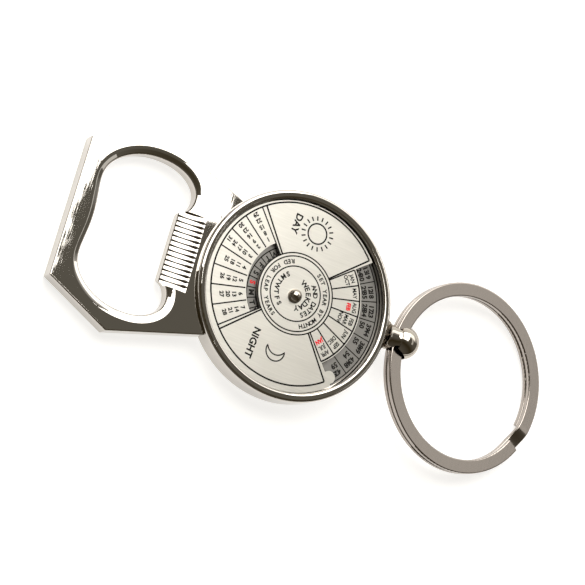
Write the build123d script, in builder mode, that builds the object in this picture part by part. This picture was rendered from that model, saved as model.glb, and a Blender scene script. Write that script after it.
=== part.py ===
"""Pocket perpetual calendar with a bottle opener and a key ring.

Millimetres, +Z out of the dial. The origin is on the dial's rivet axis, on the back face of the case.
+X runs from the dial towards the key ring, and the opener head is on the -X side.
"""
import os
from math import asin
from math import atan2
from math import cos
from math import degrees
from math import radians
from math import sin
from math import sqrt

from build123d import *

os.makedirs("parts", exist_ok=True)

# ---------------------------------------------------------------- driving dimensions
# dial case
CASE_RADIUS = 19.0
CASE_HEIGHT = 4.1
RIM_WIDTH = 1.6
RIM_OUTER_FILLET = 0.6
RIM_INNER_FILLET = 0.5
FLOOR_THICKNESS = 1.6
BACK_EDGE_FILLET = 0.4

# opener head
HEAD_THICKNESS = 3.0
HEAD_END_X = -44.35
HEAD_END_HALF_WIDTH = 12.9
HEAD_WIDEST_X = -31.85
HEAD_HALF_WIDTH = 18.5
HEAD_ROOT_X = -14.35
HEAD_ROOT_HALF_WIDTH = 12.8
HEAD_EDGE_RADIUS = 0.3
OPENING_ROLL_WIDTH = 1.2
OPENING_ROLL_DEPTH = 0.4
OPENING_ROLL_RADIUS = 2.0
OPENING_RIM_RADIUS = 0.5
OPENING_BACK_FILLET = 0.6

# gripping ledge of the opener
LEDGE_X = -24.8
LEDGE_HALF_WIDTH = 6.4
LEDGE_LIP_HEIGHT = 1.65
RAMP_TOP_X = -19.85
RAMP_HALF_WIDTH = 7.0
RAMP_SAG = 0.17
LEDGE_NOSE_RADIUS = 0.45
GROOVE_COUNT = 14
GROOVE_PITCH = 0.92
GROOVE_WIDTH = 0.5
GROOVE_DEPTH = 0.22
GROOVE_ANGLE = 13.8
GROOVE_END_X = -19.7
GROOVE_RUNOUT_RADIUS = 1.1
GROOVE_RUNOUT_ANGLE = 50

# stack of plates inside the case
ADHESIVE_THICKNESS = 0.3
ADHESIVE_INNER_RADIUS = 3.5
ADHESIVE_OUTER_RADIUS = 16.5
DISC_THICKNESS = 0.5
DISC_RADIUS = 17.25
PLATE_GAP = 0.3
PLATE_THICKNESS = 0.5
PLATE_RADIUS = 17.2
WASHER_THICKNESS = 0.25
WASHER_RADIUS = 2.4
RUNNING_PLAY = 0.05

# artwork of the face plate, which is stamped a little off the rivet axis and turned a little
ART_OFFSET_Y = 0.45
ART_TURN = -4.7
WINDOW_CELLS = 7
CELL_ANGLE = 360 / 28
WEEKDAY_WINDOW_INNER_RADIUS = 7.4
WEEKDAY_WINDOW_OUTER_RADIUS = 9.6
WEEKDAY_WINDOW_START = 134.9
YEAR_WINDOW_INNER_RADIUS = 13.15
YEAR_WINDOW_START = -44.9
THUMB_EAR_RADIUS = 1.15
THUMB_EAR_ORBIT = 16.0
THUMB_EAR_ANGLE = -43.6
THUMB_EAR_NECK = 1.7

# centre rivet and its bush
RIVET_DOME_RADIUS = 1.3
RIVET_DOME_HEIGHT = 1.3
RIVET_SHANK_RADIUS = 0.6
RIVET_TAIL_RADIUS = 1.3
RIVET_TAIL_HEIGHT = 0.6
BUSH_RADIUS = 0.95
BUSH_PLAY = 0.04

# swivel and ball link between the case and the key ring
SWIVEL_Z = 2.05
COUNTERBORE_RADIUS = 1.4
COUNTERBORE_X = 17.75
PIN_RADIUS = 0.8
PIN_FLANGE_RADIUS = 1.3
PIN_FLANGE_THICKNESS = 0.5
COLLAR_THICKNESS = 0.5
SWIVEL_PLAY = 0.05
LINK_START_X = 19.3
LINK_FOOT_RADIUS = 2.7
LINK_WAIST_X = 20.3
LINK_WAIST_RADIUS = 2.35
LINK_SHOULDER_X = 21.9
LINK_NECK_RADIUS = 2.45
LINK_WAIST_TANGENTS = [(0.4, -1), (1, 0.25)]
BALL_X = 23.25
BALL_RADIUS = 3.08
EYE_X = 22.25
EYE_RADIUS = 2.0
EYE_WALL = 0.2

# split key ring
RING_OUTER_RADIUS = 17.55
STRIP_WIDTH = 2.55
STRIP_THICKNESS = 1.0
STRIP_CORNER = 0.25
COIL_GAP = 0.1
RING_SET_BACK = 0.14
RING_TILT = 9.0
RING_YAW = -4.0
RING_ROLL = -1.5
JOG_START = -25.5
JOG_SWEEP = 15.5
JOG_STEPS = 6

# ---------------------------------------------------------------- sizes that follow
RECESS_RADIUS = CASE_RADIUS - RIM_WIDTH
DISC_BOTTOM = FLOOR_THICKNESS + ADHESIVE_THICKNESS
DISC_TOP = DISC_BOTTOM + DISC_THICKNESS
PLATE_BOTTOM = DISC_TOP + PLATE_GAP
PLATE_TOP = PLATE_BOTTOM + PLATE_THICKNESS
WINDOW_SWEEP = WINDOW_CELLS * CELL_ANGLE
THUMB_EAR_NECK_ANGLE = THUMB_EAR_ANGLE - degrees(THUMB_EAR_NECK / 2 / THUMB_EAR_ORBIT)
PLATE_BORE_RADIUS = BUSH_RADIUS + BUSH_PLAY
DOME_BASE_Z = PLATE_TOP + RUNNING_PLAY
STRIP_MID_RADIUS = RING_OUTER_RADIUS - STRIP_WIDTH / 2
OPENING_ROLL_Z = HEAD_THICKNESS - OPENING_ROLL_DEPTH
CUT_MARGIN = 1.0
TINY = 0.001


def art_plane(height):
    """Plane of the face plate's artwork at a height, with its own centre and turn."""
    art_x = (cos(radians(ART_TURN)), sin(radians(ART_TURN)), 0)
    return Plane(origin=(0, ART_OFFSET_Y, height), x_dir=art_x)


def art_point(radius, angle):
    """Point on an artwork plane, from polar coordinates about the artwork's centre."""
    return (radius * cos(radians(angle)), radius * sin(radians(angle)))


# ---------------------------------------------------------------- case with the opener head
HEAD_OUTLINE = [
    (HEAD_END_X, HEAD_END_HALF_WIDTH),
    (HEAD_WIDEST_X, HEAD_HALF_WIDTH),
    (HEAD_ROOT_X, HEAD_ROOT_HALF_WIDTH),
    (HEAD_ROOT_X, -HEAD_ROOT_HALF_WIDTH),
    (HEAD_WIDEST_X, -HEAD_HALF_WIDTH),
    (HEAD_END_X, -HEAD_END_HALF_WIDTH),
]
OPENING_LOBE = [
    (-39.75, 0),
    (-40.15, 4.8),
    (-40.1, 8.4),
    (-36.25, 12.65),
    (-30.0, 14.1),
    (-25.2, 12.9),
    (-23.0, 10.4),
    (-23.3, 7.6),
    (LEDGE_X, LEDGE_HALF_WIDTH),
]
LOBE_TANGENTS = [(0, 1), (-1, -0.3)]
RAMP_DIRECTION = (RAMP_TOP_X - LEDGE_X, HEAD_THICKNESS - LEDGE_LIP_HEIGHT)
RAMP_ANGLE = degrees(atan2(RAMP_DIRECTION[1], RAMP_DIRECTION[0]))
RAMP_MIDDLE = (
    (LEDGE_X + RAMP_TOP_X) / 2 + RAMP_SAG * sin(radians(RAMP_ANGLE)),
    (LEDGE_LIP_HEIGHT + HEAD_THICKNESS) / 2 - RAMP_SAG * cos(radians(RAMP_ANGLE)),
)
GROOVE_RUN = (GROOVE_END_X - LEDGE_X) / cos(radians(GROOVE_ANGLE))
GROOVE_STRAIGHT = GROOVE_RUN - GROOVE_RUNOUT_RADIUS * sin(radians(GROOVE_RUNOUT_ANGLE))
GROOVE_RUNOUT_RISE = GROOVE_RUNOUT_RADIUS * (1 - cos(radians(GROOVE_RUNOUT_ANGLE)))

with BuildPart() as case_body:
    with BuildSketch():
        Polygon(*HEAD_OUTLINE, align=None)
    extrude(amount=HEAD_THICKNESS)
    head_edges = case_body.edges().filter_by(Plane.XY).group_by(Axis.X)[:-1]
    fillet([edge for group in head_edges for edge in group], radius=HEAD_EDGE_RADIUS)
    with BuildSketch():
        with BuildLine():
            lobe = Spline(*OPENING_LOBE, tangents=LOBE_TANGENTS)
            mirror(lobe, about=Plane.XZ)
            Line((LEDGE_X, LEDGE_HALF_WIDTH), (LEDGE_X, -LEDGE_HALF_WIDTH))
        make_face()
    extrude(amount=HEAD_THICKNESS, mode=Mode.SUBTRACT)
    # the top face rolls off softly all round the opening, then turns down its wall
    rim_edges = case_body.edges().filter_by(GeomType.BSPLINE).group_by(Axis.Z)
    top_face = case_body.faces().sort_by(Axis.Z)[-1]
    chamfer(rim_edges[-1], length=OPENING_ROLL_WIDTH, length2=OPENING_ROLL_DEPTH, reference=top_face)
    rim_edges = case_body.edges().filter_by(GeomType.BSPLINE).group_by(Axis.Z)
    fillet(rim_edges[-1], radius=OPENING_ROLL_RADIUS)
    rim_edges = case_body.edges().filter_by(GeomType.BSPLINE)
    rim_edges = rim_edges.filter_by_position(Axis.Z, OPENING_ROLL_Z - TINY, OPENING_ROLL_Z + TINY)
    fillet(rim_edges, radius=OPENING_RIM_RADIUS)
    rim_edges = case_body.edges().filter_by(GeomType.BSPLINE).group_by(Axis.Z)
    fillet(rim_edges[0], radius=OPENING_BACK_FILLET)
    # ramp down to the lip, with its grooves
    with BuildSketch(Plane.XZ):
        with BuildLine():
            ThreePointArc((LEDGE_X, LEDGE_LIP_HEIGHT), RAMP_MIDDLE, (RAMP_TOP_X, HEAD_THICKNESS))
            Polyline(
                (RAMP_TOP_X, HEAD_THICKNESS),
                (RAMP_TOP_X, HEAD_THICKNESS + CUT_MARGIN),
                (LEDGE_X - CUT_MARGIN, HEAD_THICKNESS + CUT_MARGIN),
                (LEDGE_X - CUT_MARGIN, LEDGE_LIP_HEIGHT),
                (LEDGE_X, LEDGE_LIP_HEIGHT),
            )
        make_face()
    extrude(amount=RAMP_HALF_WIDTH, both=True, mode=Mode.SUBTRACT)
    lip_edges = case_body.edges().filter_by(Axis.Y).filter_by(
        lambda edge: abs(edge.center().X - LEDGE_X) + abs(edge.center().Z - LEDGE_LIP_HEIGHT) < TINY
    )
    fillet(lip_edges, radius=LEDGE_NOSE_RADIUS)
    # each groove is a shallow V that runs straight, then curves up and out of the metal
    groove_plane = Plane(
        origin=(LEDGE_X, 0, LEDGE_LIP_HEIGHT),
        x_dir=(cos(radians(GROOVE_ANGLE)), 0, sin(radians(GROOVE_ANGLE))),
        z_dir=(0, -1, 0),
    )
    with BuildPart(mode=Mode.PRIVATE) as groove:
        with BuildLine(groove_plane):
            Line((-CUT_MARGIN, 0), (GROOVE_STRAIGHT, 0))
            RadiusArc((GROOVE_STRAIGHT, 0), (GROOVE_RUN, GROOVE_RUNOUT_RISE), -GROOVE_RUNOUT_RADIUS)
        groove_mouth = groove_plane.from_local_coords((-CUT_MARGIN, 0))
        with BuildSketch(Plane(origin=groove_mouth, x_dir=(0, 1, 0), z_dir=groove_plane.x_dir)):
            Polygon(
                (0, -GROOVE_DEPTH),
                (GROOVE_WIDTH * 3 / 4, GROOVE_DEPTH / 2),
                (-GROOVE_WIDTH * 3 / 4, GROOVE_DEPTH / 2),
                align=None,
            )
        sweep()
    with GridLocations(0, GROOVE_PITCH, 1, GROOVE_COUNT):
        add(groove.part, mode=Mode.SUBTRACT)
    # dial cup
    with BuildSketch():
        Circle(CASE_RADIUS)
    extrude(amount=CASE_HEIGHT)
    with BuildSketch(Plane.XY.offset(FLOOR_THICKNESS)):
        Circle(RECESS_RADIUS)
    extrude(amount=CASE_HEIGHT, mode=Mode.SUBTRACT)
    rim_circles = case_body.edges().filter_by(GeomType.CIRCLE).group_by(Axis.Z)[-1].sort_by(SortBy.RADIUS)
    fillet(rim_circles[-1:], radius=RIM_OUTER_FILLET)
    rim_circles = case_body.edges().filter_by(GeomType.CIRCLE).group_by(Axis.Z)[-1].sort_by(SortBy.RADIUS)
    fillet(rim_circles[:1], radius=RIM_INNER_FILLET)
    # bore for the rivet, countersunk at the back
    with Locations(Plane.XY.offset(FLOOR_THICKNESS)):
        Hole(RIVET_SHANK_RADIUS)
    with BuildSketch():
        Circle(RIVET_TAIL_RADIUS)
    with BuildSketch(Plane.XY.offset(RIVET_TAIL_HEIGHT)):
        Circle(RIVET_SHANK_RADIUS)
    loft(mode=Mode.SUBTRACT)
    # counterbore for the swivel pin
    with BuildSketch(Plane(origin=(COUNTERBORE_X, 0, SWIVEL_Z), x_dir=(0, 1, 0), z_dir=(1, 0, 0))):
        Circle(COUNTERBORE_RADIUS)
    extrude(amount=RIM_WIDTH + CUT_MARGIN, mode=Mode.SUBTRACT)

# ---------------------------------------------------------------- calendar disc and what holds it
with BuildPart() as adhesive_ring:
    with BuildSketch(Plane.XY.offset(FLOOR_THICKNESS)):
        Circle(ADHESIVE_OUTER_RADIUS)
        Circle(ADHESIVE_INNER_RADIUS, mode=Mode.SUBTRACT)
    extrude(amount=ADHESIVE_THICKNESS)

with BuildPart() as calendar_disc:
    with BuildSketch(Plane.XY.offset(DISC_BOTTOM)):
        Circle(DISC_RADIUS)
        Circle(BUSH_RADIUS + BUSH_PLAY, mode=Mode.SUBTRACT)
    extrude(amount=DISC_THICKNESS)

with BuildPart() as friction_washer:
    with BuildSketch(Plane.XY.offset(DISC_TOP)):
        Circle(WASHER_RADIUS)
        Circle(BUSH_RADIUS + BUSH_PLAY, mode=Mode.SUBTRACT)
    extrude(amount=WASHER_THICKNESS)

with BuildPart() as spacer_bush:
    with BuildSketch(Plane.XY.offset(FLOOR_THICKNESS)):
        Circle(BUSH_RADIUS)
        Circle(RIVET_SHANK_RADIUS, mode=Mode.SUBTRACT)
    extrude(amount=DOME_BASE_Z - FLOOR_THICKNESS)

# ---------------------------------------------------------------- turning face plate
with BuildPart() as face_plate:
    with BuildSketch(Plane.XY.offset(PLATE_BOTTOM)):
        Circle(PLATE_RADIUS)
        Circle(PLATE_BORE_RADIUS, mode=Mode.SUBTRACT)
    extrude(amount=PLATE_THICKNESS)
    with BuildSketch(art_plane(PLATE_BOTTOM)):
        # weekday window
        with BuildLine():
            outer = CenterArc((0, 0), WEEKDAY_WINDOW_OUTER_RADIUS, WEEKDAY_WINDOW_START, WINDOW_SWEEP)
            inner = CenterArc((0, 0), WEEKDAY_WINDOW_INNER_RADIUS, WEEKDAY_WINDOW_START, WINDOW_SWEEP)
            Line(outer @ 0, inner @ 0)
            Line(outer @ 1, inner @ 1)
        make_face()
        # year window, open to the plate's edge
        with BuildLine():
            outer = CenterArc((0, 0), RECESS_RADIUS + CUT_MARGIN, YEAR_WINDOW_START, WINDOW_SWEEP)
            inner = CenterArc((0, 0), YEAR_WINDOW_INNER_RADIUS, YEAR_WINDOW_START, WINDOW_SWEEP)
            Line(outer @ 0, inner @ 0)
            Line(outer @ 1, inner @ 1)
        make_face()
    extrude(amount=PLATE_THICKNESS, mode=Mode.SUBTRACT)
    # thumb ear that stands into the year window
    with BuildSketch(art_plane(PLATE_BOTTOM)):
        with Locations(art_point(THUMB_EAR_ORBIT, THUMB_EAR_ANGLE)):
            Circle(THUMB_EAR_RADIUS)
        with Locations(art_point(THUMB_EAR_ORBIT, THUMB_EAR_NECK_ANGLE)):
            Rectangle(2 * THUMB_EAR_RADIUS, THUMB_EAR_NECK, rotation=THUMB_EAR_ANGLE)
    extrude(amount=PLATE_THICKNESS)

# ---------------------------------------------------------------- centre rivet
DOME_SPHERE_RADIUS = (RIVET_DOME_RADIUS**2 + RIVET_DOME_HEIGHT**2) / (2 * RIVET_DOME_HEIGHT)
DOME_HALF_ANGLE = asin(RIVET_DOME_RADIUS / DOME_SPHERE_RADIUS)
DOME_MID_X = DOME_SPHERE_RADIUS * sin(DOME_HALF_ANGLE / 2)
DOME_MID_Z = DOME_BASE_Z + RIVET_DOME_HEIGHT - DOME_SPHERE_RADIUS * (1 - cos(DOME_HALF_ANGLE / 2))

with BuildPart() as centre_rivet:
    with BuildSketch(Plane.XZ):
        with BuildLine():
            Polyline(
                (0, DOME_BASE_Z + RIVET_DOME_HEIGHT),
                (0, 0),
                (RIVET_TAIL_RADIUS, 0),
                (RIVET_SHANK_RADIUS, RIVET_TAIL_HEIGHT),
                (RIVET_SHANK_RADIUS, DOME_BASE_Z),
                (RIVET_DOME_RADIUS, DOME_BASE_Z),
            )
            ThreePointArc(
                (RIVET_DOME_RADIUS, DOME_BASE_Z),
                (DOME_MID_X, DOME_MID_Z),
                (0, DOME_BASE_Z + RIVET_DOME_HEIGHT),
            )
        make_face()
    revolve(axis=Axis.Z)

# ---------------------------------------------------------------- swivel pin, collar and ball link
swivel_plane = Plane(origin=(0, 0, SWIVEL_Z), x_dir=(0, 1, 0), z_dir=(1, 0, 0))
swivel_axis = Axis(origin=(0, 0, SWIVEL_Z), direction=(1, 0, 0))
FLANGE_START_X = COUNTERBORE_X + SWIVEL_PLAY
FLANGE_END_X = FLANGE_START_X + PIN_FLANGE_THICKNESS
COLLAR_START_X = FLANGE_END_X + SWIVEL_PLAY
PIN_END_X = EYE_X - EYE_RADIUS - EYE_WALL

with BuildPart() as swivel_pin:
    with BuildSketch(swivel_plane.offset(FLANGE_START_X)):
        Circle(PIN_FLANGE_RADIUS)
    extrude(amount=PIN_FLANGE_THICKNESS)
    with BuildSketch(swivel_plane.offset(FLANGE_END_X)):
        Circle(PIN_RADIUS)
    extrude(amount=PIN_END_X - FLANGE_END_X)

with BuildPart() as swivel_collar:
    with BuildSketch(swivel_plane.offset(COLLAR_START_X)):
        Circle(COUNTERBORE_RADIUS)
        Circle(PIN_RADIUS + SWIVEL_PLAY, mode=Mode.SUBTRACT)
    extrude(amount=COLLAR_THICKNESS)

BALL_CUT_RADIUS = sqrt(BALL_RADIUS**2 - (BALL_X - LINK_SHOULDER_X) ** 2)
with BuildPart() as ball_link:
    with BuildSketch(Plane.XZ):
        with BuildLine():
            foot = (LINK_START_X, SWIVEL_Z + LINK_FOOT_RADIUS)
            waist = (LINK_WAIST_X, SWIVEL_Z + LINK_WAIST_RADIUS)
            neck = (LINK_SHOULDER_X, SWIVEL_Z + LINK_NECK_RADIUS)
            shoulder = (LINK_SHOULDER_X, SWIVEL_Z + BALL_CUT_RADIUS)
            ball_top = (BALL_X, SWIVEL_Z + BALL_RADIUS)
            ball_end = (BALL_X + BALL_RADIUS, SWIVEL_Z)
            Line((LINK_START_X, SWIVEL_Z), foot)
            Spline(foot, waist, neck, tangents=LINK_WAIST_TANGENTS)
            Line(neck, shoulder)
            ThreePointArc(shoulder, ball_top, ball_end)
            Line(ball_end, (LINK_START_X, SWIVEL_Z))
        make_face()
    revolve(axis=swivel_axis)
    with BuildSketch(swivel_plane.offset(LINK_START_X)):
        Circle(PIN_RADIUS)
    extrude(amount=PIN_END_X - LINK_START_X, mode=Mode.SUBTRACT)
    with BuildSketch(Plane.XZ):
        with Locations((EYE_X, SWIVEL_Z)):
            Circle(EYE_RADIUS)
    extrude(amount=BALL_RADIUS + CUT_MARGIN, both=True, mode=Mode.SUBTRACT)

# ---------------------------------------------------------------- split key ring
# The ring hangs through the link's eye. Its own frame has the centre of the coil as origin, its
# first axis away from the eye, and its normal tipped towards the far end. It is set back a little,
# so the curve of the strip has the same room at the middle and at the mouths of the eye.
RING_OUT = Vector(
    cos(radians(RING_TILT)) * cos(radians(RING_YAW)),
    cos(radians(RING_TILT)) * sin(radians(RING_YAW)),
    -sin(radians(RING_TILT)),
)
RING_LEVEL_SIDE = Vector(-sin(radians(RING_YAW)), cos(radians(RING_YAW)), 0)
RING_SIDE = RING_LEVEL_SIDE.rotate(Axis(origin=(0, 0, 0), direction=RING_OUT), RING_ROLL)
RING_NORMAL = RING_OUT.cross(RING_SIDE)
RING_CENTRE = Vector(EYE_X, 0, SWIVEL_Z) + RING_OUT * (STRIP_MID_RADIUS - RING_SET_BACK)
COIL_LEVEL = (STRIP_THICKNESS + COIL_GAP) / 2
TURN_SWEEP = 360 - JOG_SWEEP
JOG_END = JOG_START + JOG_SWEEP


def strip_plane(angle, level):
    """Plane across the strip at an angle round the coil, level mm above its middle."""
    radial = RING_OUT * cos(radians(angle)) + RING_SIDE * sin(radians(angle))
    along = RING_SIDE * cos(radians(angle)) - RING_OUT * sin(radians(angle))
    middle = RING_CENTRE + radial * STRIP_MID_RADIUS + RING_NORMAL * level
    return Plane(origin=middle, x_dir=radial, z_dir=along)


ring_axis = Axis(origin=RING_CENTRE, direction=RING_NORMAL)
with BuildPart() as split_ring:
    # lower turn, from its free end round to the jog
    with BuildSketch(strip_plane(JOG_END, -COIL_LEVEL)):
        RectangleRounded(STRIP_WIDTH, STRIP_THICKNESS, STRIP_CORNER)
    revolve(axis=ring_axis, revolution_arc=TURN_SWEEP)
    # jog up to the upper turn
    for step in range(JOG_STEPS + 1):
        share = step / JOG_STEPS
        rise = -COIL_LEVEL * cos(radians(180 * share))
        with BuildSketch(strip_plane(JOG_START + JOG_SWEEP * share, rise)):
            RectangleRounded(STRIP_WIDTH, STRIP_THICKNESS, STRIP_CORNER)
    loft()
    # upper turn, from the jog round to its free end
    with BuildSketch(strip_plane(JOG_END, COIL_LEVEL)):
        RectangleRounded(STRIP_WIDTH, STRIP_THICKNESS, STRIP_CORNER)
    revolve(axis=ring_axis, revolution_arc=TURN_SWEEP)

# ---------------------------------------------------------------- labels and files
PIECES = {
    "case_body": case_body,
    "adhesive_ring": adhesive_ring,
    "calendar_disc": calendar_disc,
    "friction_washer": friction_washer,
    "spacer_bush": spacer_bush,
    "face_plate": face_plate,
    "centre_rivet": centre_rivet,
    "swivel_pin": swivel_pin,
    "swivel_collar": swivel_collar,
    "ball_link": ball_link,
    "split_ring": split_ring,
}
for piece_name, piece in PIECES.items():
    piece.part.label = piece_name
    export_step(piece.part, f"parts/{piece_name}.step")
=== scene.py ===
"""Pocket perpetual calendar with a bottle opener and a key ring, finished and printed round its frame.

Metres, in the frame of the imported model: +Z out of the dial, +X from the dial towards the key ring.
The artwork is laid out in millimetres about its own centre, upright when +X is up.
"""

from math import atan2, cos, degrees, pi, radians, sin

import bmesh
import bpy
from mathutils import Matrix, Quaternion, Vector


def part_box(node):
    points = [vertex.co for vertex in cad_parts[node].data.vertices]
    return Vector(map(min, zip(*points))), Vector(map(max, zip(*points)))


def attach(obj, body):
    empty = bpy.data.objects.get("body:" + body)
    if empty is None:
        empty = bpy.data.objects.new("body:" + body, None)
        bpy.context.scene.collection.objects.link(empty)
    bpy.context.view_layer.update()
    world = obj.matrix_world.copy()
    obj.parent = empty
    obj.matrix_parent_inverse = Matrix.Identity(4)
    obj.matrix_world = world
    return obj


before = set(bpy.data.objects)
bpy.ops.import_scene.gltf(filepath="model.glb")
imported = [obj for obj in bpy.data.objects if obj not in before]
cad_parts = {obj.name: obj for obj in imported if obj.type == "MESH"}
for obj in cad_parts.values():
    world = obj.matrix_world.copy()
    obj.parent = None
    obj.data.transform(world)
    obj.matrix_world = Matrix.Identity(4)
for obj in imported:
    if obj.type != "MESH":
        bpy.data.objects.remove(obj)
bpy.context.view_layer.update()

bl_info = {
    "name": "Pocket Calendar Key Ring",
    "version": (1, 0, 0),
    "blender": (4, 5, 0),
    "location": "View3D > Sidebar > Pocket Calendar",
    "description": "Finishes and prints a plated perpetual calendar with its opener and key ring",
    "category": "Object",
}

MM = 0.001
PLATE_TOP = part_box("face_plate")[1].z
DISC_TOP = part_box("calendar_disc")[1].z

# ---------------------------------------------------------------- artwork, in mm and degrees
SECTORS = 28
CELL = 360 / SECTORS
WINDOW_CELLS = 7
DAYS_IN_WEEK = 7
DAYS_IN_MONTH = 31
YEARS = range(10, 60)
WEEKDAYS = ("S", "M", "T", "W", "T", "F", "S")
# the months whose first day falls alike share a column, and each is marked if it is for leap years
MONTH_COLUMNS = (
    (("JAN", False), ("OCT", False)),
    (("MAY", False),),
    (("AUG", False), ("FEB", True)),
    (("FEB", False), ("MAR", False), ("NOV", False)),
    (("JUN", False),),
    (("SEP", False), ("DEC", False)),
    (("APR", False), ("JUL", False), ("JAN", True)),
)

# face plate
HUB_CIRCLES = (4.94, 6.75, 7.35)
HUB_RADIUS = HUB_CIRCLES[-1]
BORDER_RADIUS = 16.39
SECTOR_SIDES = (47.0, 131.7, 227.7, 312.0)
DATE_START = 135.0
DATE_RADIUS = 9.75
FIRST_DATE_RADIUS = 10.75
DATE_ROW = 1.22
MONTH_START = 45.0
MONTH_RADIUS = 12.85
FIRST_MONTH_RADIUS = 11.85
MONTH_ROW = 1.18
MONTH_SQUEEZE = 0.86
HUB_LINE = 0.24
COLUMN_LINE = 0.25
# words, height, weight, radius, first and last angle, and whether their tops point away from the centre
HUB_CAPTIONS = (
    ("RED FOR LEAP YEARS", 0.78, 0.04, 5.85, 112, 246, False),
    ("SET YEAR BY MONTH", 0.78, 0.04, 5.85, 62, -62, True),
    ("S M T W T F S", 0.9, 0.05, 3.75, 130, 236, False),
    ("WEEKDAY", 1.0, 0.045, 2.5, 76, -76, True),
    ("AND DATES", 0.9, 0.04, 3.9, 48, -56, True),
)
SIDE_CAPTIONS = (("DAY", (-4.4, 11.9, 0)), ("NIGHT", (-4.4, -11.6, 0)))
SUN_CENTRE = (0, 11.9, 0)
SUN_RADIUS = 1.85
SUN_LINE = 0.28
SUN_RAYS = 18
RAY_REACH = (2.4, 3.2)
RAY_LINE = 0.26
MOON_CENTRE = (0.22, -10.65, 0)
MOON_HALF_CHORD = 1.75
MOON_LINE = 0.24
# depth of each side of the crescent, and which way round its arc is drawn
MOON_SAGS = ((2.3, 1), (1.15, -1))

# disc under the plate
WEEKDAY_BAND = (7.2, 9.05)
WEEKDAY_RADIUS = 8.15
YEAR_BAND = (12.9, 16.85)
FIRST_YEAR_RADIUS = 15.75
YEAR_ROW = 1.35
YEAR_ASIDE = 0.5306
YEARS_IN_CELL = 4
BAND_LINE = 0.22
# how far round a band's circle is drawn before its ends are joined
BAND_ARC = 358
CELL_LINE = 0.2

# lettering
CAP_SHARE = 0.73
LETTER_STEPS = 3
FINE_WEIGHT = 0.035
PLAIN_WEIGHT = 0.05
BOLD_WEIGHT = 0.06

# ---------------------------------------------------------------- studio, in metres and degrees
PANEL_CORNER = Vector((0.147, 0.183, 0.6))
# name, nearest and farthest x and y before the turn about the shared corner, turn, and radiance
PANELS = (
    ("overhead_box", -0.55, 0.147, 0.04, 1.1, -10, 4.2),
    ("left_box", 0.147, 0.206, 0.208, 1.1, -10, 4.2),
    ("far_card", 0.5, 0.76, -0.05, 0.48, 0, 0.68),
    ("side_box", 0.25, 1.3, 0.5, 1.3, 0, 1.6),
    ("near_card", -1.2, -0.6, -0.5, 0.3, 0, 0.15),
)
PANEL_COLOUR = (1.0, 0.985, 0.955)
BRIGHT_SIDE = (0.3, 0.95, 0.0)
# how bright the room is, from the side away from the lights to the bright side
ROOM_STOPS = (
    (0.0, (0.14, 0.13, 0.11, 1)),
    (0.35, (0.05, 0.037, 0.016, 1)),
    (0.6, (0.16, 0.15, 0.125, 1)),
    (0.76, (0.15, 0.14, 0.12, 1)),
    (0.86, (0.9, 0.88, 0.84, 1)),
    (1.0, (1.3, 1.28, 1.22, 1)),
)
TABLE_SIZE = 4.0
TABLE_GAP = 0.00005


# ---------------------------------------------------------------- helpers
def linear(hex_colour):
    """Linear RGBA of an sRGB hex colour."""
    channels = [int(hex_colour[i : i + 2], 16) / 255 for i in (1, 3, 5)]
    return tuple(c / 12.92 if c <= 0.04045 else ((c + 0.055) / 1.055) ** 2.4 for c in channels) + (1.0,)


def add_node(tree, kind, settings=None, links=None):
    """Adds a node, sets its properties and inputs, and links sockets into its inputs."""
    node = tree.nodes.new(kind)
    for name, value in (settings or {}).items():
        if name == "stops":
            while len(node.color_ramp.elements) < len(value):
                node.color_ramp.elements.new(1.0)
            for element, (position, colour) in zip(node.color_ramp.elements, value):
                element.position = position
                element.color = colour
        elif isinstance(name, int) or name in node.inputs:
            node.inputs[name].default_value = value
        else:
            setattr(node, name, value)
    for name, socket in (links or {}).items():
        tree.links.new(socket, node.inputs[name])
    return node


def new_material(name):
    """An empty node material and its tree."""
    material = bpy.data.materials.new(name)
    material.use_nodes = True
    material.node_tree.nodes.clear()
    return material, material.node_tree


def assign(material, *nodes):
    """Puts a material in every slot of the named CAD nodes."""
    for name in nodes:
        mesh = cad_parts[name].data
        mesh.materials.clear()
        mesh.materials.append(material)


def polar(radius, angle):
    """Point in the plane at a radius and an angle in degrees."""
    return Vector((radius * cos(radians(angle)), radius * sin(radians(angle)), 0.0))


def arc_points(centre, radius, start, end, step=3.0):
    """Points along an arc, ends included, about every step degrees."""
    count = max(2, round(abs(end - start) / step) + 1)
    return [centre + polar(radius, start + (end - start) * i / (count - 1)) for i in range(count)]


def circle_points(centre, radius, step=3.0):
    """Points round a whole circle, for a closed ribbon."""
    return arc_points(centre, radius, 0, 360 - step, step)


def ribbon(bm, points, width, thickness, closed=False):
    """Adds a closed flat bar of ink that follows points in the plane."""
    rings = []
    count = len(points)
    for i, point in enumerate(points):
        ahead = points[(i + 1) % count] if closed or i < count - 1 else point
        behind = points[i - 1] if closed or i > 0 else point
        along = (ahead - behind).normalized()
        side = Vector((-along.y, along.x, 0.0)) * width / 2
        low, high = Vector((0, 0, -thickness / 2)), Vector((0, 0, thickness / 2))
        rings.append([bm.verts.new(point + s) for s in (side + low, side + high, high - side, low - side)])
    for i in range(count if closed else count - 1):
        near, far = rings[i], rings[(i + 1) % count]
        for j in range(4):
            bm.faces.new((near[j], near[(j + 1) % 4], far[(j + 1) % 4], far[j]))
    if not closed:
        bm.faces.new(reversed(rings[0]))
        bm.faces.new(rings[-1])


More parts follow.
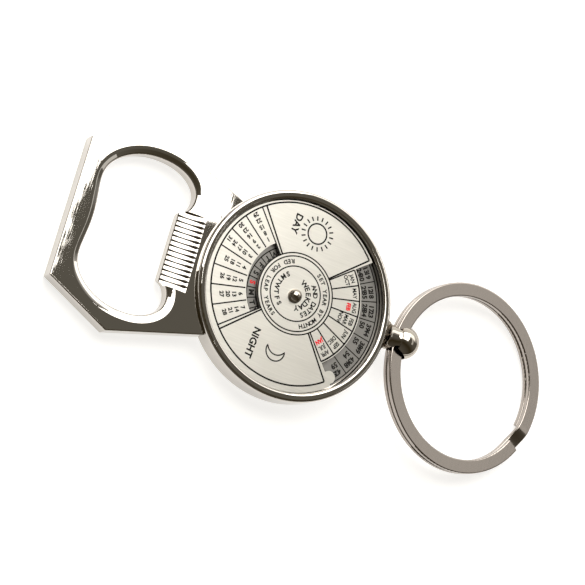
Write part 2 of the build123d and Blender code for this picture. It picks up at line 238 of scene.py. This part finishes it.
def letters(bm, text, height, weight, thickness, matrix):
    """Adds raised letters centred where matrix puts them, height being that of a capital."""
    curve = bpy.data.curves.new("letters", "FONT")
    curve.body = text
    curve.size = height / CAP_SHARE
    curve.align_x = "CENTER"
    curve.align_y = "CENTER"
    curve.extrude = thickness / 2
    curve.offset = weight
    curve.resolution_u = LETTER_STEPS
    holder = bpy.data.objects.new("letters", curve)
    mesh = bpy.data.meshes.new_from_object(holder)
    mesh.transform(matrix)
    bm.from_mesh(mesh)
    bpy.data.objects.remove(holder)
    bpy.data.curves.remove(curve)
    bpy.data.meshes.remove(mesh)


def upright(radius, angle, tops_out):
    """Placement of letters on a circle, their tops away from the centre or towards it."""
    turn = angle - 90 if tops_out else angle + 90
    return Matrix.Translation(polar(radius, angle)) @ Matrix.Rotation(radians(turn), 4, "Z")


def letters_on_arc(bm, text, height, weight, thickness, radius, start, end, tops_out):
    """Spreads letters evenly along an arc, one by one."""
    for i, letter in enumerate(text):
        if letter != " ":
            angle = start + (end - start) * (i + 0.5) / len(text)
            letters(bm, letter, height, weight, thickness, upright(radius, angle, tops_out))


def print_piece(name, bm, material, turn, offset, height, body):
    """Makes a printed piece of a mesh in mm, laid on the surface at a height, riding on a body."""
    place = Matrix.Translation((0, offset, height)) @ Matrix.Rotation(turn, 4, "Z") @ Matrix.Scale(MM, 4)
    bm.transform(place)
    bmesh.ops.recalc_face_normals(bm, faces=bm.faces)
    mesh = bpy.data.meshes.new(name)
    bm.to_mesh(mesh)
    bm.free()
    mesh.materials.append(material)
    piece = bpy.data.objects.new(name, mesh)
    bpy.context.scene.collection.objects.link(piece)
    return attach(piece, body)


# ---------------------------------------------------------------- materials
def nickel_chrome_on_zinc(name, colour, roughness, wave_mm, wave_tilt):
    """Zinc die casting, buffed by hand and nickel-chrome plated: a mirror with a slow, uneven wave."""
    material, tree = new_material(name)
    place = add_node(tree, "ShaderNodeTexCoord")
    wave = add_node(
        tree,
        "ShaderNodeTexNoise",
        {"Scale": 1 / (wave_mm * MM), "Detail": 2.0, "Roughness": 0.5},
        {"Vector": place.outputs["Object"]},
    )
    # buffing lines run along the part, about 0.1 mm apart and drawn at 0.3 mm so that they show
    stretch = add_node(
        tree,
        "ShaderNodeMapping",
        {"Scale": (1 / (0.3 * MM), 1 / (4 * MM), 1 / (1 * MM)), "Rotation": (0, 0, radians(20))},
        {"Vector": place.outputs["Object"]},
    )
    lines = add_node(
        tree, "ShaderNodeTexNoise", {"Scale": 1.0, "Detail": 3.0}, {"Vector": stretch.outputs[0]}
    )
    gloss = add_node(
        tree,
        "ShaderNodeMapRange",
        {"To Min": roughness * 0.6, "To Max": roughness * 1.7},
        {"Value": lines.outputs["Fac"]},
    )
    slow = add_node(
        tree,
        "ShaderNodeBump",
        {"Strength": wave_tilt, "Distance": wave_mm * MM * 0.1},
        {"Height": wave.outputs["Fac"]},
    )
    fine = add_node(
        tree,
        "ShaderNodeBump",
        {"Strength": 0.1, "Distance": 0.01 * MM},
        {"Height": lines.outputs["Fac"], "Normal": slow.outputs[0]},
    )
    shader = add_node(
        tree,
        "ShaderNodeBsdfPrincipled",
        {"Base Color": colour, "Metallic": 1.0},
        {"Roughness": gloss.outputs[0], "Normal": fine.outputs[0]},
    )
    add_node(tree, "ShaderNodeOutputMaterial", links={"Surface": shader.outputs[0]})
    return material


def satin_brushed_nickel_silver(name, colour, roughness, brush_turn):
    """Sheet metal, satin-brushed in one direction before printing: soft light with fine streaks."""
    material, tree = new_material(name)
    place = add_node(tree, "ShaderNodeTexCoord")
    # brush lines about 0.05 mm apart, drawn at 0.25 mm so that they show
    stretch = add_node(
        tree,
        "ShaderNodeMapping",
        {"Scale": (1 / (5 * MM), 1 / (0.25 * MM), 1 / (1 * MM)), "Rotation": (0, 0, brush_turn)},
        {"Vector": place.outputs["Object"]},
    )
    lines = add_node(
        tree,
        "ShaderNodeTexNoise",
        {"Scale": 1.0, "Detail": 4.0, "Roughness": 0.6},
        {"Vector": stretch.outputs[0]},
    )
    gloss = add_node(
        tree,
        "ShaderNodeMapRange",
        {"To Min": roughness * 0.8, "To Max": roughness * 1.25},
        {"Value": lines.outputs["Fac"]},
    )
    dull = tuple(c * 0.9 for c in colour[:3]) + (1.0,)
    tone = add_node(
        tree,
        "ShaderNodeValToRGB",
        {"stops": ((0.3, dull), (0.7, colour))},
        {"Fac": lines.outputs["Fac"]},
    )
    relief = add_node(
        tree, "ShaderNodeBump", {"Strength": 0.12, "Distance": 0.01 * MM}, {"Height": lines.outputs["Fac"]}
    )
    shader = add_node(
        tree,
        "ShaderNodeBsdfPrincipled",
        {"Metallic": 1.0},
        {"Base Color": tone.outputs[0], "Roughness": gloss.outputs[0], "Normal": relief.outputs[0]},
    )
    add_node(tree, "ShaderNodeOutputMaterial", links={"Surface": shader.outputs[0]})
    return material


def screen_ink(name, colour):
    """Screen-printed enamel ink, baked on: nearly matt, and faintly mottled every 0.4 mm or so."""
    material, tree = new_material(name)
    place = add_node(tree, "ShaderNodeTexCoord")
    mottle = add_node(
        tree,
        "ShaderNodeTexNoise",
        {"Scale": 1 / (0.4 * MM), "Detail": 2.0},
        {"Vector": place.outputs["Object"]},
    )
    # where the ink is thinner it is a little paler
    thin = tuple(min(1.0, c * 1.35 + 0.01) for c in colour[:3]) + (1.0,)
    tone = add_node(
        tree,
        "ShaderNodeValToRGB",
        {"stops": ((0.3, colour), (0.8, thin))},
        {"Fac": mottle.outputs["Fac"]},
    )
    shader = add_node(
        tree, "ShaderNodeBsdfPrincipled", {"Roughness": 0.85, "IOR": 1.3}, {"Base Color": tone.outputs[0]}
    )
    add_node(tree, "ShaderNodeOutputMaterial", links={"Surface": shader.outputs[0]})
    return material


def plain_inner(name, colour, metallic, roughness, grain_mm):
    """A piece inside the case, as it comes from the lathe, the punch or the mould."""
    material, tree = new_material(name)
    place = add_node(tree, "ShaderNodeTexCoord")
    grain = add_node(
        tree,
        "ShaderNodeTexNoise",
        {"Scale": 1 / (grain_mm * MM), "Detail": 3.0},
        {"Vector": place.outputs["Object"]},
    )
    gloss = add_node(
        tree,
        "ShaderNodeMapRange",
        {"To Min": roughness * 0.8, "To Max": min(1.0, roughness * 1.3)},
        {"Value": grain.outputs["Fac"]},
    )
    shader = add_node(
        tree,
        "ShaderNodeBsdfPrincipled",
        {"Base Color": colour, "Metallic": metallic},
        {"Roughness": gloss.outputs[0]},
    )
    add_node(tree, "ShaderNodeOutputMaterial", links={"Surface": shader.outputs[0]})
    return material


# ---------------------------------------------------------------- settings
class ArtworkSettings(bpy.types.PropertyGroup):
    """Sizes of the printing on the face plate and the disc under it."""

    turn: bpy.props.FloatProperty(
        name="Artwork turn", description="Turn of the face plate", default=radians(-4.7), subtype="ANGLE"
    )
    offset: bpy.props.FloatProperty(
        name="Artwork offset",
        description="How far the print sits off the rivet",
        default=0.45 * MM,
        unit="LENGTH",
    )
    line: bpy.props.FloatProperty(name="Line", description="Width of a printed line in mm", default=0.3)
    ink: bpy.props.FloatProperty(name="Ink", description="Thickness of the ink in mm", default=0.03)
    numeral: bpy.props.FloatProperty(name="Numeral", description="Height of a date in mm", default=0.78)
    year: bpy.props.FloatProperty(name="Year", description="Height of a year in mm", default=0.95)
    weekday: bpy.props.FloatProperty(name="Weekday", description="Height of a weekday in mm", default=1.0)
    caption: bpy.props.FloatProperty(
        name="Caption", description="Height of a caption's letters in mm", default=1.35
    )
    disc_weekday_turn: bpy.props.FloatProperty(
        name="Weekday turn", description="Where a week starts on the disc, in degrees", default=175.9
    )
    disc_year_turn: bpy.props.FloatProperty(
        name="Year turn", description="Where the years start on the disc, in degrees", default=4.6
    )


class FinishSettings(bpy.types.PropertyGroup):
    """Colours of the finishes."""

    case: bpy.props.FloatVectorProperty(
        name="Case", description="Plating of the case", default=linear("#C6C1BA"), size=4, subtype="COLOR"
    )
    ring: bpy.props.FloatVectorProperty(
        name="Ring", description="Plating of the ring", default=linear("#ABA39C"), size=4, subtype="COLOR"
    )
    link: bpy.props.FloatVectorProperty(
        name="Link", description="Plating of the link", default=linear("#B4ADA3"), size=4, subtype="COLOR"
    )
    plate: bpy.props.FloatVectorProperty(
        name="Plate", description="Brushed face plate", default=linear("#D6D3CB"), size=4, subtype="COLOR"
    )
    # Painted shade: this grey stands for the shade that falls on the disc under the face plate.
    disc: bpy.props.FloatVectorProperty(
        name="Disc", description="Grey printed disc", default=linear("#83817D"), size=4, subtype="COLOR"
    )
    black: bpy.props.FloatVectorProperty(
        name="Black ink", description="Main ink", default=linear("#141210"), size=4, subtype="COLOR"
    )
    red: bpy.props.FloatVectorProperty(
        name="Red ink",
        description="Ink of Sundays and leap years",
        default=linear("#D8232A"),
        size=4,
        subtype="COLOR",
    )
    adhesive: bpy.props.FloatVectorProperty(
        name="Adhesive", description="Foam under the disc", default=linear("#E6E1D4"), size=4, subtype="COLOR"
    )
    washer: bpy.props.FloatVectorProperty(
        name="Washer", description="Natural nylon", default=linear("#E4E2D8"), size=4, subtype="COLOR"
    )
    steel: bpy.props.FloatVectorProperty(
        name="Steel", description="Bare turned steel", default=linear("#B9B5AE"), size=4, subtype="COLOR"
    )


class StudioSettings(bpy.types.PropertyGroup):
    """Camera and table of the studio."""

    azimuth: bpy.props.FloatProperty(
        name="Azimuth",
        description="Camera's direction round +Z, 0 looking along +Y",
        default=radians(-53.6),
        subtype="ANGLE",
    )
    elevation: bpy.props.FloatProperty(
        name="Elevation",
        description="Camera's height above the dial's plane",
        default=radians(62.389),
        subtype="ANGLE",
    )
    roll: bpy.props.FloatProperty(
        name="Roll", description="Camera's turn about its own axis", default=radians(72.682), subtype="ANGLE"
    )
    distance: bpy.props.FloatProperty(
        name="Distance", description="Camera to dial", default=0.4708, unit="LENGTH"
    )
    lens: bpy.props.FloatProperty(name="Lens", description="Focal length", default=163.94, unit="CAMERA")
    target: bpy.props.FloatVectorProperty(
        name="Target",
        description="Point the camera looks at",
        default=(-0.00048, 0.00052, 0.00298),
        unit="LENGTH",
    )
    table: bpy.props.FloatVectorProperty(
        name="Table", description="Table's colour", default=linear("#BDBCBA"), size=4, subtype="COLOR"
    )
    table_glow: bpy.props.FloatVectorProperty(
        name="Table glow",
        description="Light that comes up through the table",
        default=linear("#FFFEFC"),
        size=4,
        subtype="COLOR",
    )
    table_glow_strength: bpy.props.FloatProperty(
        name="Table glow strength", description="How far the table's glow lifts its shadows", default=0.75
    )


# ---------------------------------------------------------------- operators
class CALENDAR_OT_case(bpy.types.Operator):
    """Finishes the case with its opener head, and what is sealed inside it"""

    bl_idname = "calendar.case"
    bl_label = "Case and opener head"

    def execute(self, context):
        colours = context.scene.calendar_finish
        plating = nickel_chrome_on_zinc(
            "nickel_chrome_on_buffed_zinc", colours.case, roughness=0.018, wave_mm=12.0, wave_tilt=0.035
        )
        foam = plain_inner(
            "die_cut_adhesive_foam", colours.adhesive, metallic=0.0, roughness=0.8, grain_mm=0.2
        )
        nylon = plain_inner("punched_nylon", colours.washer, metallic=0.0, roughness=0.45, grain_mm=0.3)
        steel = plain_inner("turned_steel", colours.steel, metallic=1.0, roughness=0.3, grain_mm=0.15)
        assign(plating, "case_body")
        assign(foam, "adhesive_ring")
        assign(nylon, "friction_washer")
        assign(steel, "spacer_bush", "swivel_collar", "swivel_pin")
        return {"FINISHED"}


class CALENDAR_OT_disc(bpy.types.Operator):
    """Finishes the fixed disc and prints its weekdays and years"""

    bl_idname = "calendar.disc"
    bl_label = "Printed disc"

    def execute(self, context):
        art, colours = context.scene.calendar_artwork, context.scene.calendar_finish
        # Painted shade: the disc takes the plate's brushed metal, its base colour darkened to grey to stand
        # for the shade under the face plate.
        sheet_metal = satin_brushed_nickel_silver(
            "plate_metal_darkened_as_painted_shade", colours.disc, roughness=0.5, brush_turn=radians(40)
        )
        assign(sheet_metal, "calendar_disc")
        black = screen_ink("black_enamel_ink_on_disc", colours.black)
        red = screen_ink("red_enamel_ink_on_disc", colours.red)
        words, sundays = bmesh.new(), bmesh.new()
        for cell in range(SECTORS):
            self.weekday(sundays if cell % DAYS_IN_WEEK == 0 else words, art, cell)
            self.years(words, art, cell)
        for name, bm, ink in (
            ("disc_lines", self.lines(art), black),
            ("disc_letters_and_years", words, black),
            ("disc_red_sundays", sundays, red),
        ):
            print_piece(name, bm, ink, 0.0, 0.0, DISC_TOP, "case")
        return {"FINISHED"}

    def lines(self, art):
        """The borders of the two bands and of their cells."""
        bm = bmesh.new()
        for radius in (*WEEKDAY_BAND, *YEAR_BAND):
            ribbon(bm, arc_points(Vector(), radius, 0, BAND_ARC), BAND_LINE, art.ink, closed=True)
        for cell in range(SECTORS):
            for band, start in ((WEEKDAY_BAND, art.disc_weekday_turn), (YEAR_BAND, art.disc_year_turn)):
                ribbon(bm, [polar(radius, start + cell * CELL) for radius in band], CELL_LINE, art.ink)
        return bm

    def weekday(self, bm, art, cell):
        """The initial of one cell's weekday."""
        angle = art.disc_weekday_turn + (cell + 0.5) * CELL
        place = upright(WEEKDAY_RADIUS, angle, False)
        letters(bm, WEEKDAYS[cell % DAYS_IN_WEEK], art.weekday, BOLD_WEIGHT, art.ink, place)

    def years(self, bm, art, cell):
        """One cell's years, in rows of two: those whose calendars start on the cell's weekday."""
        kin = [year for year in YEARS if (year + year // 4) % DAYS_IN_WEEK == cell % DAYS_IN_WEEK]
        early_cell = (cell // DAYS_IN_WEEK) % 2 == 0
        shown = kin[:YEARS_IN_CELL] if early_cell else kin[YEARS_IN_CELL:]
        for i, year in enumerate(shown):
            radius = FIRST_YEAR_RADIUS - YEAR_ROW * (i // 2)
            aside = degrees(YEAR_ASIDE / radius) * (1 if i % 2 == 0 else -1)
            angle = art.disc_year_turn + (cell + 0.5) * CELL + aside
            letters(bm, f"{year:02d}", art.year, BOLD_WEIGHT, art.ink, upright(radius, angle, True))


class CALENDAR_OT_plate(bpy.types.Operator):
    """Finishes the turning face plate and prints its dates, months, sun and moon"""

    bl_idname = "calendar.plate"
    bl_label = "Face plate"

    def execute(self, context):
        art, colours = context.scene.calendar_artwork, context.scene.calendar_finish
        sheet_metal = satin_brushed_nickel_silver(
            "satin_brushed_nickel_silver", colours.plate, roughness=0.34, brush_turn=radians(-35)
        )
        assign(sheet_metal, "face_plate")
        black = screen_ink("black_enamel_ink", colours.black)
        red = screen_ink("red_enamel_ink", colours.red)
        for name, bm, ink in (
            ("plate_lines", self.lines(art), black),
            ("plate_dates", self.dates(art), black),
            ("plate_months", self.months(art, False), black),
            ("plate_red_months", self.months(art, True), red),
            ("plate_captions", self.captions(art), black),
            ("plate_sun", self.sun(art), black),
            ("plate_moon", self.moon(art), black),
        ):
            print_piece(name, bm, ink, art.turn, art.offset, PLATE_TOP, "dial")
        return {"FINISHED"}

    def lines(self, art):
        """Circles, and the borders of the sectors and columns."""
        bm = bmesh.new()
        for radius in HUB_CIRCLES:
            ribbon(bm, circle_points(Vector(), radius), HUB_LINE, art.ink, closed=True)
        border = arc_points(Vector(), BORDER_RADIUS, SECTOR_SIDES[0], SECTOR_SIDES[-1])
        ribbon(bm, border, art.line, art.ink)
        ribbon(bm, arc_points(Vector(), MONTH_RADIUS, MONTH_START, -MONTH_START), art.line, art.ink)
        for angle in SECTOR_SIDES:
            ribbon(bm, [polar(HUB_RADIUS, angle), polar(BORDER_RADIUS, angle)], art.line, art.ink)
        for column in range(WINDOW_CELLS + 1):
            at_end = column in (0, WINDOW_CELLS)
            angle = DATE_START + column * CELL
            start = HUB_RADIUS if at_end else DATE_RADIUS
            ribbon(bm, [polar(start, angle), polar(BORDER_RADIUS, angle)], COLUMN_LINE, art.ink)
            angle = MONTH_START - column * CELL
            ribbon(bm, [polar(HUB_RADIUS, angle), polar(MONTH_RADIUS, angle)], COLUMN_LINE, art.ink)
        return bm

    def dates(self, art):
        """The days of the month in seven columns, the first nearest the centre."""
        bm = bmesh.new()
        for day in range(DAYS_IN_MONTH):
            column, row = day % DAYS_IN_WEEK, day // DAYS_IN_WEEK
            place = upright(FIRST_DATE_RADIUS + DATE_ROW * row, DATE_START + (column + 0.5) * CELL, False)
            letters(bm, str(day + 1), art.numeral, PLAIN_WEIGHT, art.ink, place)
        return bm

    def months(self, art, leap):
        """The months in seven columns, or only those printed red for leap years."""
        bm = bmesh.new()
        narrow = Matrix.Diagonal((MONTH_SQUEEZE, 1, 1, 1))
        weight = BOLD_WEIGHT if leap else FINE_WEIGHT
        for column, names in enumerate(MONTH_COLUMNS):
            for row, (name, is_leap) in enumerate(names):
                if is_leap == leap:
                    angle = MONTH_START - (column + 0.5) * CELL
                    place = upright(FIRST_MONTH_RADIUS - MONTH_ROW * row, angle, True)
                    letters(bm, name, art.numeral, weight, art.ink, place @ narrow)
        return bm

    def captions(self, art):
        """Words beside the sun and the moon, and round the centre."""
        bm = bmesh.new()
        for text, spot in SIDE_CAPTIONS:
            place = Matrix.Translation(spot) @ Matrix.Rotation(radians(-90), 4, "Z")
            letters(bm, text, art.caption, BOLD_WEIGHT, art.ink, place)
        for text, height, weight, radius, start, end, tops_out in HUB_CAPTIONS:
            letters_on_arc(bm, text, height, weight, art.ink, radius, start, end, tops_out)
        return bm

    def sun(self, art):
        """A ring with rays."""
        bm = bmesh.new()
        centre = Vector(SUN_CENTRE)
        ribbon(bm, circle_points(centre, SUN_RADIUS, 6), SUN_LINE, art.ink, closed=True)
        for ray in range(SUN_RAYS):
            angle = 360 * (ray + 0.5) / SUN_RAYS
            ray_ends = [centre + polar(radius, angle) for radius in RAY_REACH]
            ribbon(bm, ray_ends, RAY_LINE, art.ink)
        return bm

    def moon(self, art):
        """The outline of a crescent, between two arcs that share their ends."""
        bm = bmesh.new()
        outline = []
        for sag, direction in MOON_SAGS:
            radius = (MOON_HALF_CHORD**2 + sag**2) / (2 * sag)
            centre = Vector(MOON_CENTRE) + Vector((0, radius - sag, 0))
            reach = degrees(atan2(MOON_HALF_CHORD, radius - sag))
            side = arc_points(centre, radius, -90 - direction * reach, -90 + direction * reach, 8)
            outline += side[:-1]
        ribbon(bm, outline, MOON_LINE, art.ink, closed=True)
        return bm


class CALENDAR_OT_rivet(bpy.types.Operator):
    """Finishes the domed centre rivet"""

    bl_idname = "calendar.rivet"
    bl_label = "Centre rivet"

    def execute(self, context):
        colour = context.scene.calendar_finish.link
        plating = nickel_chrome_on_zinc(
            "nickel_chrome_on_headed_rivet", colour, roughness=0.05, wave_mm=2.0, wave_tilt=0.03
        )
        assign(plating, "centre_rivet")
        return {"FINISHED"}


class CALENDAR_OT_link(bpy.types.Operator):
    """Finishes the turned ball link"""

    bl_idname = "calendar.link"
    bl_label = "Ball link"

    def execute(self, context):
        colour = context.scene.calendar_finish.link
        plating = nickel_chrome_on_zinc(
            "nickel_chrome_on_turned_brass", colour, roughness=0.025, wave_mm=3.0, wave_tilt=0.03
        )
        assign(plating, "ball_link")
        return {"FINISHED"}


class CALENDAR_OT_ring(bpy.types.Operator):
    """Finishes the split key ring"""

    bl_idname = "calendar.ring"
    bl_label = "Split ring"

    def execute(self, context):
        colour = context.scene.calendar_finish.ring
        plating = nickel_chrome_on_zinc(
            "nickel_plated_spring_steel", colour, roughness=0.12, wave_mm=5.0, wave_tilt=0.03
        )
        assign(plating, "split_ring")
        return {"FINISHED"}


class CALENDAR_OT_stage(bpy.types.Operator):
    """Makes the table, the lights, the room and the camera"""

    bl_idname = "calendar.stage"
    bl_label = "Studio"

    def execute(self, context):
        studio = context.scene.calendar_studio
        self.camera(context.scene, studio)
        self.table(studio)
        self.room(context.scene)
        for name, low_x, high_x, low_y, high_y, turn, glow in PANELS:
            self.panel(context.scene, name, (low_x, high_x, low_y, high_y), turn, glow)
        context.scene.view_settings.view_transform = "Standard"
        return {"FINISHED"}

    def camera(self, scene, studio):
        """A long lens above the dial, rolled so that the opener is at the upper left."""
        azimuth, elevation = studio.azimuth, studio.elevation
        level = cos(elevation)
        back = Vector((sin(azimuth) * level, -cos(azimuth) * level, sin(elevation)))
        turn = back.to_track_quat("Z", "Y") @ Quaternion((0, 0, 1), studio.roll)
        data = bpy.data.cameras.new("studio_camera")
        data.lens = studio.lens
        data.clip_start = 0.01
        data.clip_end = 10
        camera = bpy.data.objects.new("studio_camera", data)
        camera.rotation_mode = "QUATERNION"
        camera.rotation_quaternion = turn
        camera.location = Vector(studio.target) + back * studio.distance
        scene.collection.objects.link(camera)
        scene.camera = camera

    def table(self, studio):
        """A white, softly lit table that the opener's end and the key ring's far end both rest on."""
        low_ring, high_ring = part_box("split_ring")
        head_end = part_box("case_body")[0].x
        fall = low_ring.z / (high_ring.x - head_end)
        bpy.ops.mesh.primitive_grid_add(x_subdivisions=2, y_subdivisions=2, size=TABLE_SIZE)
        table = bpy.context.object
        table.name = "white_table"
        table.rotation_euler = (0, -atan2(fall, 1), 0)
        table.location = (head_end, 0, -TABLE_GAP)
        material, tree = new_material("white_table_board")
        shader = add_node(
            tree,
            "ShaderNodeBsdfPrincipled",
            {
                "Base Color": studio.table,
                "Roughness": 0.8,
                "Emission Color": studio.table_glow,
                "Emission Strength": studio.table_glow_strength,
            },
        )
        add_node(tree, "ShaderNodeOutputMaterial", links={"Surface": shader.outputs[0]})
        table.data.materials.append(material)

    def room(self, scene):
        """A dim room that is bright low down on one side."""
        world = bpy.data.worlds.new("dim_room")
        world.use_nodes = True
        world.node_tree.nodes.clear()
        tree = world.node_tree
        place = add_node(tree, "ShaderNodeTexCoord")
        side = add_node(
            tree,
            "ShaderNodeVectorMath",
            {"operation": "DOT_PRODUCT", 1: BRIGHT_SIDE},
            {0: place.outputs["Generated"]},
        )
        spread = add_node(
            tree, "ShaderNodeMapRange", {"From Min": -1.0, "From Max": 1.0}, {"Value": side.outputs["Value"]}
        )
        ramp = add_node(tree, "ShaderNodeValToRGB", {"stops": ROOM_STOPS}, {"Fac": spread.outputs[0]})
        back = add_node(tree, "ShaderNodeBackground", {"Strength": 1.0}, {"Color": ramp.outputs[0]})
        add_node(tree, "ShaderNodeOutputWorld", links={"Surface": back.outputs[0]})
        scene.world = world

    def panel(self, scene, name, edges, turn, glow):
        """An even rectangle of light that hangs level and shines down, turned about the shared corner."""
        low_x, high_x, low_y, high_y = edges
        light = bpy.data.lights.new(name, "AREA")
        light.shape = "RECTANGLE"
        light.size = high_x - low_x
        light.size_y = high_y - low_y
        light.color = PANEL_COLOUR
        light.energy = glow * pi * light.size * light.size_y
        lamp = bpy.data.objects.new(name, light)
        centre = Vector(((low_x + high_x) / 2, (low_y + high_y) / 2, PANEL_CORNER.z))
        swing = Matrix.Rotation(radians(turn), 4, "Z")
        out_to_light = Matrix.Translation(centre - PANEL_CORNER)
        lamp.matrix_world = Matrix.Translation(PANEL_CORNER) @ swing @ out_to_light
        scene.collection.objects.link(lamp)


class CALENDAR_PT_panel(bpy.types.Panel):
    """Lists what this file makes"""

    bl_label = "Pocket Calendar"
    bl_idname = "CALENDAR_PT_panel"
    bl_space_type = "VIEW_3D"
    bl_region_type = "UI"
    bl_category = "Pocket Calendar"

    def draw(self, context):
        for operator in OPERATORS:
            self.layout.operator(operator.bl_idname)
        for group in (
            context.scene.calendar_artwork,
            context.scene.calendar_finish,
            context.scene.calendar_studio,
        ):
            box = self.layout.box()
            for name in group.__annotations__:
                box.prop(group, name)


OPERATORS = (
    CALENDAR_OT_stage,
    CALENDAR_OT_case,
    CALENDAR_OT_disc,
    CALENDAR_OT_plate,
    CALENDAR_OT_rivet,
    CALENDAR_OT_link,
    CALENDAR_OT_ring,
)
CLASSES = (ArtworkSettings, FinishSettings, StudioSettings, *OPERATORS, CALENDAR_PT_panel)


def register():
    """Makes the classes known, and adds their settings to the scene."""
    for cls in CLASSES:
        bpy.utils.register_class(cls)
    bpy.types.Scene.calendar_artwork = bpy.props.PointerProperty(type=ArtworkSettings)
    bpy.types.Scene.calendar_finish = bpy.props.PointerProperty(type=FinishSettings)
    bpy.types.Scene.calendar_studio = bpy.props.PointerProperty(type=StudioSettings)


def unregister():
    """Takes the settings and the classes away again."""
    del bpy.types.Scene.calendar_studio
    del bpy.types.Scene.calendar_finish
    del bpy.types.Scene.calendar_artwork
    for cls in reversed(CLASSES):
        bpy.utils.unregister_class(cls)


def main():
    """Makes the whole scene, in order."""
    register()
    bpy.ops.calendar.stage()
    bpy.ops.calendar.case()
    bpy.ops.calendar.disc()
    bpy.ops.calendar.plate()
    bpy.ops.calendar.rivet()
    bpy.ops.calendar.link()
    bpy.ops.calendar.ring()


if __name__ == "__main__":
    main()
